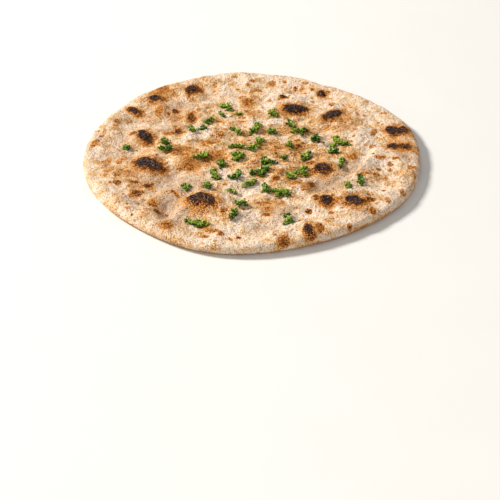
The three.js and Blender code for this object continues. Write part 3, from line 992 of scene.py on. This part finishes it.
parsley = {
    "curl": (0.9, 2.6),  # shortest and longest curl of leaf, mm
    "curlPoints": (10, 4),  # across and outward
    "curlSpread": (0.8, 1.35),  # how far either way the fan opens, radians
    "curlFoot": 0.12,  # where it starts, as a share of its length
    "curlRound": 0.2,  # how much shorter it is at its sides
    "curlShrink": (1.05, 0.25),  # size at the foot of a spray, and how much smaller at its tip
    "curlCup": (-0.3, 0.6),  # as a share of its length
    "curlThickness": 0.12 * mm,
    "curlSpacing": 0.3 * mm,  # along a spray
    "fewestCurls": 4,
    "curlTurn": (0.3, 1.5),  # away from the stalk, radians
    "turnFade": (1.15, 0.8),  # share of it at the foot of a spray, and how much less at its tip
    "curlTilt": (0, 78),  # above the crust, degrees
    "curlRoll": 0.9,  # either way, radians
    "teeth": (-0.14, 0.2),  # notches and points along the edge, as shares of its length
    "frills": (2.0, 3.4),  # waves round the edge of a curl
    "frillDepth": (0.2, 0.4),  # as a share of its length
    "waveLight": 0.8,  # how much of its painted light and shade follows the waves of its frills
    "bushy": 1.0 * mm,  # how far the curls stray from their stalk
    "bow": 0.12,  # how far a spray bends sideways, as a share of its length
    "arch": (0.3, 0.9),  # how high it rises in its middle, mm
    "archEnd": 0.85,  # share of the way after which it comes down no further
    "stalk": 0.2 * mm,  # radius
    "stalkShare": 0.8,  # how far along its spray a stalk runs
    "stalkSag": 0.3 * mm,
    "bareStalk": 0.32 * mm,
    "bareStalkSag": 0.6,  # mm either way
    "stalkTaper": 0.45,
    "lift": 0.1 * mm,  # clearance above the crust
    "tints": (0.0, 0.35),  # darkest and lightest bit
    "curlTint": 0.35,  # how much its curls vary, either way
    "stalkTints": (0.7, 0.9),  # with leaf on it, and bare
    "colours": [  # from painted shade in the folds to painted light on the tips
        (0.0, (0.004, 0.018, 0.002)), (0.38, (0.028, 0.115, 0.005)), (0.68, (0.115, 0.29, 0.012)),
        (1.0, (0.52, 0.58, 0.08)),
    ],
    "veins": 0.9 * mm,
    "mottle": 3.5 * mm,
    "upWeight": 0.35,  # how much painted light makes the high tips lighter than the folds near the crust
    "mottleWeight": 0.5,
    "gloss": (0.25, 0.6),  # least and most roughness
    "specular": 0.3,
    "subsurface": 0.15,
    "subsurfaceRadius": (0.4, 1.0, 0.15),
    "subsurfaceScale": 0.4 * mm,
    "veinDepth": 0.3 * mm,
    "veinStrength": 0.6,

    # Where the sprays of each bit reach from its middle: east and north in mm.
    "sprays": {
        "01": [(-3.5, 2.5), (2.5, -4.5), (0.5, 2)], "02": [(0, 1.5), (1.5, -3)], "03": [(2.5, -0.5)],
        "04": [(1.5, 2), (-1.5, -1.5)], "05": [(-1.5, 3.5), (1, -4.5)], "06": [(1, 0.5), (-3.5, -3)],
        "07": [(-2.5, 2), (3, -3.5)], "08": [(3, 4.8), (-2, -4.4), (1.5, -3)],
        "09": [(0, 2), (-2.5, -2), (2, -2)], "10": [(0.3, 1), (-0.5, -3), (3.5, -3.5)],
        "11": [(-0.5, 1.5), (1.5, -4.5)], "12": [(-6, 0.5), (2.5, 2), (0.5, -3.5)],
        "13": [(0, 2.8), (-1.5, -2.5), (2, -2.5)], "14": [(0, 4.4), (-4, -3.6), (4.5, -3.2), (7.5, -3.2)],
        "15": [(0, 2.2), (-1, -3), (2.5, -3.4)], "16": [(0.5, 1), (2.5, -4)],
        "17": [(-3, -1.5), (3, 0.3), (1, -2.6)], "18": [(-0.8, 1), (1.2, -1.8)],
        "19": [(-4, -0.5), (4, -1.2)], "20": [(2, 2.8), (-2, -3.4)],
        "21": [(-2.5, 0.5), (3.5, 1), (0.5, -2)], "22": [(-0.7, 3), (1.6, -3)],
        "23": [(0, 3.4), (-2.7, 1), (2.7, 1), (-2, -2.5), (2.2, -3), (0, -4.4)],
        "24": [(2.5, 2.6), (-4.5, -2.8), (0, -2.6), (3.2, -0.8)], "25": [(0, 2), (0.8, -2), (-0.5, -3.4)],
        "26": [(2.5, 4.2), (-1.8, -4), (2, -1), (-2, 0)], "27": [(0.5, 1), (-1, -2.5)],
        "28": [(0.5, 2), (-0.8, -4.6)], "29": [(0, 2), (0, -3.4), (7, -1.6)],
        "30": [(1.5, 2), (-5.5, -1.6), (0.5, -4.2), (4.5, 2.4)],
        "31": [(2, 2.6), (-4, -3.4), (1.5, -3.4)], "32": [(0, 1.8), (0, -3.6), (3, -2.8)],
        "33": [(-1.7, 3.8), (2, -4.2), (-1, -2.6)], "34": [(1.5, 4.4), (-3.5, -3.4), (2, -3.8), (0, -1)],
        "35": [(2.5, 2.6), (-3, -4.8), (2, -0.8)], "36": [(-1.5, 1.8), (1, -4), (1.6, 0)],
        "37": [(0, 1.8), (0.8, -4.6)], "38": [(-1.5, 2.6), (-2, -3), (0, -4.2)],
        "39": [(-4.5, 1), (4, -0.8), (-2, -4.2), (2.5, -4.4), (0, -2)], "40": [(-2.5, -0.3), (2.5, -1.2)],
        "41": [(-2, 1.5), (3, -2.5), (-0.5, -4.4)], "42": [(0.7, 2.2), (-1, -4.2)],
        "43": [(-6.2, 1), (4.5, -1.6), (0, -3), (-3, -1.6), (2, -3.2)],
        "44": [(-1, 4.2), (2.5, -2), (-2, -3.4), (1, -3)], "45": [(-1, 3.4), (-1.5, -3.4)],
        "46": [(0, 1.8), (0, -4.6)],
    },

    # Bare stalks, in the same way.
    "stalks": {
        "03": (-5, -4.5), "12": (-7.5, 2), "14": (9, -2.6), "18": (-2, 3), "22": (2.4, -5.4),
        "24": (-7.4, -3.4), "28": (1, 3.4), "29": (8.2, -1), "33": (-2, 5.2), "34": (2, 6), "41": (1, -6),
        "43": (-7.6, 1.6), "45": (0.5, -5),
    },
}


def middleOf(node):
    # middle of a CAD bit, from its own points
    flat = np.array([v.co[:2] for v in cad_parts[node].data.vertices])
    return Vector((*((flat.min(0) + flat.max(0)) / 2), 0))


def leafCurl(dice, length):
    # one curl of leaf, and the painted light and shade of each point: a fan from its stalk, frilled and
    # toothed at its edge
    across, outward = parsley["curlPoints"]
    foot, waveLight = parsley["curlFoot"], parsley["waveLight"]
    spread = dice.uniform(*parsley["curlSpread"])
    frills, phase = dice.uniform(*parsley["frills"]), dice.uniform(0, 2 * math.pi)
    frill = dice.uniform(*parsley["frillDepth"]) * length
    cup = dice.uniform(*parsley["curlCup"]) * length
    spots, light = [], []
    for j in range(outward):
        u = j / (outward - 1)  # 0 at the stalk, 1 at the edge
        for i in range(across):
            v = 2 * i / (across - 1) - 1  # -1 and 1 at the fan's sides
            tooth = 1 + parsley["teeth"][i % 2] * u
            reach = length * (foot + (1 - foot) * u) * (1 - parsley["curlRound"] * v * v) * tooth
            wave = math.sin(frills * math.pi * v + phase)
            high = frill * u * wave + cup * u * u
            spots.append((reach * math.cos(v * spread), reach * math.sin(v * spread), high))
            # painted light on the crests and towards the edge, painted shade in the troughs and at the foot
            light.append((1 - waveLight + waveLight * wave) * u)
    return sheetBody(spots, across, outward, parsley["curlThickness"]), light * 2


def sheetBody(spots, across, outward, thickness):
    # gives a grid of points two sides and a wall round its edge
    count = across * outward
    both = [(x, y, z + side * thickness / 2) for side in (1, -1) for x, y, z in spots]
    cells = gridFaces(across, outward)
    edge = list(range(across)) + [j * across + across - 1 for j in range(1, outward)]
    edge += [count - 1 - i for i in range(1, across)] + [j * across for j in range(outward - 2, 0, -1)]
    walls = [(a, b, b + count, a + count) for a, b in zip(edge, edge[1:] + edge[:1])]
    return both, cells + [tuple(count + k for k in reversed(cell)) for cell in cells] + walls


def stemTube(start, end, sag, thick):
    # a short tapered stem, bent a little
    sides, steps = 6, 6
    way = (end - start).normalized()
    side = way.cross(Vector((0, 0, 1))).normalized()
    spots, faces = [], []
    for j in range(steps + 1):
        t = j / steps
        mid = start.lerp(end, t) + side * sag * math.sin(math.pi * t)
        wide = thick * (1 - parsley["stalkTaper"] * t)
        for k in range(sides):
            a = 2 * math.pi * k / sides
            spots.append(mid + side * wide * math.cos(a) + Vector((0, 0, wide * (1 + math.sin(a)))))
    for j in range(steps):
        for k in range(sides):
            a, b = j * sides + k, j * sides + (k + 1) % sides
            faces.append((a, b, b + sides, a + sides))
    faces.append(tuple(reversed(range(sides))))
    faces.append(tuple(range(steps * sides, (steps + 1) * sides)))
    return spots, faces


def addPart(spots, faces, tints, part, tint):
    # tint is one number, or one for each point
    first = len(spots)
    spots += [tuple(p) for p in part[0]]
    faces += [tuple(first + k for k in face) for face in part[1]]
    tints += tint if isinstance(tint, list) else [tint] * len(part[0])


def crustHeight(crust, x, y):
    wellAbove = Vector((x, y, 100 * mm))
    return crust.ray_cast(wellAbove, Vector((0, 0, -1)))[0].z


def growSpray(dice, reach, spots, faces, tints, tone):
    # curls of leaf on both sides of a curved stalk and at its end
    end = Vector((*reach, 0)) * mm
    long = end.length
    along = end.normalized()
    heading = math.atan2(along.y, along.x)
    bow = Vector((-along.y, along.x, 0)) * dice.uniform(-parsley["bow"], parsley["bow"]) * long
    arch = Vector((0, 0, dice.uniform(*parsley["arch"]) * mm))
    turnStart, turnLoss = parsley["turnFade"]
    curlStart, curlLoss = parsley["curlShrink"]
    count = max(parsley["fewestCurls"], round(long / parsley["curlSpacing"]))
    for n in range(count):
        share = (n + 1) / count
        base = end * share + (bow + arch) * math.sin(math.pi * min(share, parsley["archEnd"]))
        base += Vector((dice.uniform(-1, 1), dice.uniform(-1, 1), 0)) * parsley["bushy"]
        side = 1 if n % 2 else -1
        turn = heading + side * dice.uniform(*parsley["curlTurn"]) * (turnStart - turnLoss * share)
        tilt = math.radians(dice.uniform(*parsley["curlTilt"]))
        length = dice.uniform(*parsley["curl"]) * mm * (curlStart - curlLoss * share)
        curl, light = leafCurl(dice, length)
        roll = dice.uniform(-parsley["curlRoll"], parsley["curlRoll"])
        turned = Euler((roll, -tilt, turn)).to_matrix()
        own = tone + dice.uniform(-parsley["curlTint"], parsley["curlTint"])
        part = [turned @ Vector(p) + base for p in curl[0]], curl[1]
        # the curl's own tint plus its painted light and shade
        addPart(spots, faces, tints, part, [own + value for value in light])


def growSprig(node, dice):
    # a whole bit of parsley about its own middle: its sprays, their stalks and perhaps a bare one
    spots, faces, tints = [], [], []
    foot = Vector((0, 0, 0))
    bit = node[-2:]
    tone = dice.uniform(*parsley["tints"])
    leafyTint, bareTint = parsley["stalkTints"]
    for reach in parsley["sprays"][bit]:
        growSpray(dice, reach, spots, faces, tints, tone)
        tip = Vector((*reach, 0)) * parsley["stalkShare"] * mm
        addPart(spots, faces, tints, stemTube(foot, tip, parsley["stalkSag"], parsley["stalk"]), leafyTint)
    if bit in parsley["stalks"]:
        tip = Vector((*parsley["stalks"][bit], 0)) * mm
        sag = dice.uniform(-parsley["bareStalkSag"], parsley["bareStalkSag"]) * mm
        addPart(spots, faces, tints, stemTube(foot, tip, sag, parsley["bareStalk"]), bareTint)
    return spots, faces, tints


def makeSprig(node, crust, material):
    spots, faces, tints = growSprig(node, random.Random(node))
    centre = middleOf(node)
    placed = []
    for x, y, z in spots:
        x, y = x + centre.x, y + centre.y
        placed.append((x, y, crustHeight(crust, x, y) + parsley["lift"] + max(0, z)))
    obj = makeObject(node.replace("parsley", "sprig"), placed, faces)
    highest = max(p[2] for p in spots)
    # tint holds each bit's own tint together with the painted light and shade of its curls
    paintField(obj, "tint", tints)
    # up paints the high tips lighter and the folds near the crust darker
    paintField(obj, "up", [p[2] / highest for p in spots])
    fixNormals(obj)
    obj.data.materials.append(material)
    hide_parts(node)
    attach(obj, "root")


def makeLeafMaterial():
    mat, tree, shader, place = newMaterial("parsleyLeaf")
    veins = grain(tree, place, parsley["veins"], 3, 0.6)
    mottle = grain(tree, place, parsley["mottle"], 2, 0.5)
    # painted shade makes the folds near the crust darkest, painted light the frilled tips lightest
    level = total(
        tree, painted(tree, "tint"), times(tree, painted(tree, "up"), parsley["upWeight"]),
        times(tree, total(tree, veins, mottle), parsley["mottleWeight"]), -parsley["mottleWeight"],
    )
    tree.links.new(ramp(tree, level, parsley["colours"]), shader.inputs["Base Color"])
    tree.links.new(spanned(tree, veins, *parsley["gloss"]), shader.inputs["Roughness"])
    normal = bumped(tree, veins, parsley["veinDepth"], parsley["veinStrength"])
    tree.links.new(normal, shader.inputs["Normal"])
    shader.inputs["Specular IOR Level"].default_value = parsley["specular"]
    shader.inputs["Subsurface Weight"].default_value = parsley["subsurface"]
    shader.inputs["Subsurface Radius"].default_value = parsley["subsurfaceRadius"]
    shader.inputs["Subsurface Scale"].default_value = parsley["subsurfaceScale"]
    return mat


crumbs = {
    "count": 520,
    "size": (0.28, 0.8),  # mm
    "length": (1, 2.2),  # against its width
    "thickness": (0.35, 0.7),
    "tilt": 0.5,  # either way, radians
    "uneven": (0.7, 1.2),
    "sides": 5,
    "spread": 7.5,  # how far from a bit they fall, mm
    "colours": [  # from pepper-dark specks to shreds of leaf
        (0.0, (0.018, 0.010, 0.005)), (0.5, (0.030, 0.024, 0.006)), (0.8, (0.06, 0.08, 0.01)),
        (1.0, (0.15, 0.22, 0.03)),
    ],
    "mottle": 1 * mm,
    "mottleWeight": 0.2,
    "roughness": 0.6,
}


def makeCrumbs(crust, middles):
    # fine shreds of leaf and dark specks shaken off the bits
    dice = random.Random(41)
    spots, faces, tints = [], [], []
    count = crumbs["sides"]
    sides = [(i, (i + 1) % count, count) for i in range(count)]
    sides += [((i + 1) % count, i, count + 1) for i in range(count)]
    for _ in range(crumbs["count"]):
        home = dice.choice(middles)
        x = home.x + dice.gauss(0, crumbs["spread"] * mm)
        y = home.y + dice.gauss(0, crumbs["spread"] * mm)
        size = dice.uniform(*crumbs["size"]) * mm / 2
        tilts = [dice.uniform(-crumbs["tilt"], crumbs["tilt"]) for _ in range(2)]
        turned = Euler((*tilts, dice.uniform(0, 6.3))).to_matrix()
        long, flat = dice.uniform(*crumbs["length"]), dice.uniform(*crumbs["thickness"])
        ring = []
        for k in range(count):
            angle = 2 * math.pi * k / count
            along = math.cos(angle) * long * dice.uniform(*crumbs["uneven"])
            ring.append((along, math.sin(angle) * dice.uniform(*crumbs["uneven"]), 0))
        ground = Vector((x, y, crustHeight(crust, x, y) + size * flat))
        body = [turned @ Vector(p) * size + ground for p in ring + [(0, 0, flat), (0, 0, -flat)]]
        addPart(spots, faces, tints, (body, sides), dice.random())
    obj = makeObject("herbCrumbs", spots, faces, smooth=False)
    paintField(obj, "tint", tints)
    obj.data.materials.append(makeCrumbMaterial())
    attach(obj, "root")


def makeCrumbMaterial():
    mat, tree, shader, place = newMaterial("herbCrumb")
    mottle = times(tree, grain(tree, place, crumbs["mottle"]), crumbs["mottleWeight"])
    colour = ramp(tree, total(tree, painted(tree, "tint"), mottle), crumbs["colours"])
    tree.links.new(colour, shader.inputs["Base Color"])
    shader.inputs["Roughness"].default_value = crumbs["roughness"]
    return mat


makeStudio()
makeFloor()
print("studio: camera, lamps and floor are in place")
crustPiece = makeBread()
print("bread: shaped and baked")
crustTree = BVHTree.FromObject(crustPiece, bpy.context.evaluated_depsgraph_get())
leafMaterial = makeLeafMaterial()
sprigNodes = sorted(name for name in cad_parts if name.startswith("parsley_"))
for sprigNode in sprigNodes:
    makeSprig(sprigNode, crustTree, leafMaterial)
print("parsley: %d bits" % len(sprigNodes))
makeCrumbs(crustTree, [middleOf(name) for name in sprigNodes])
print("crumbs: scattered")
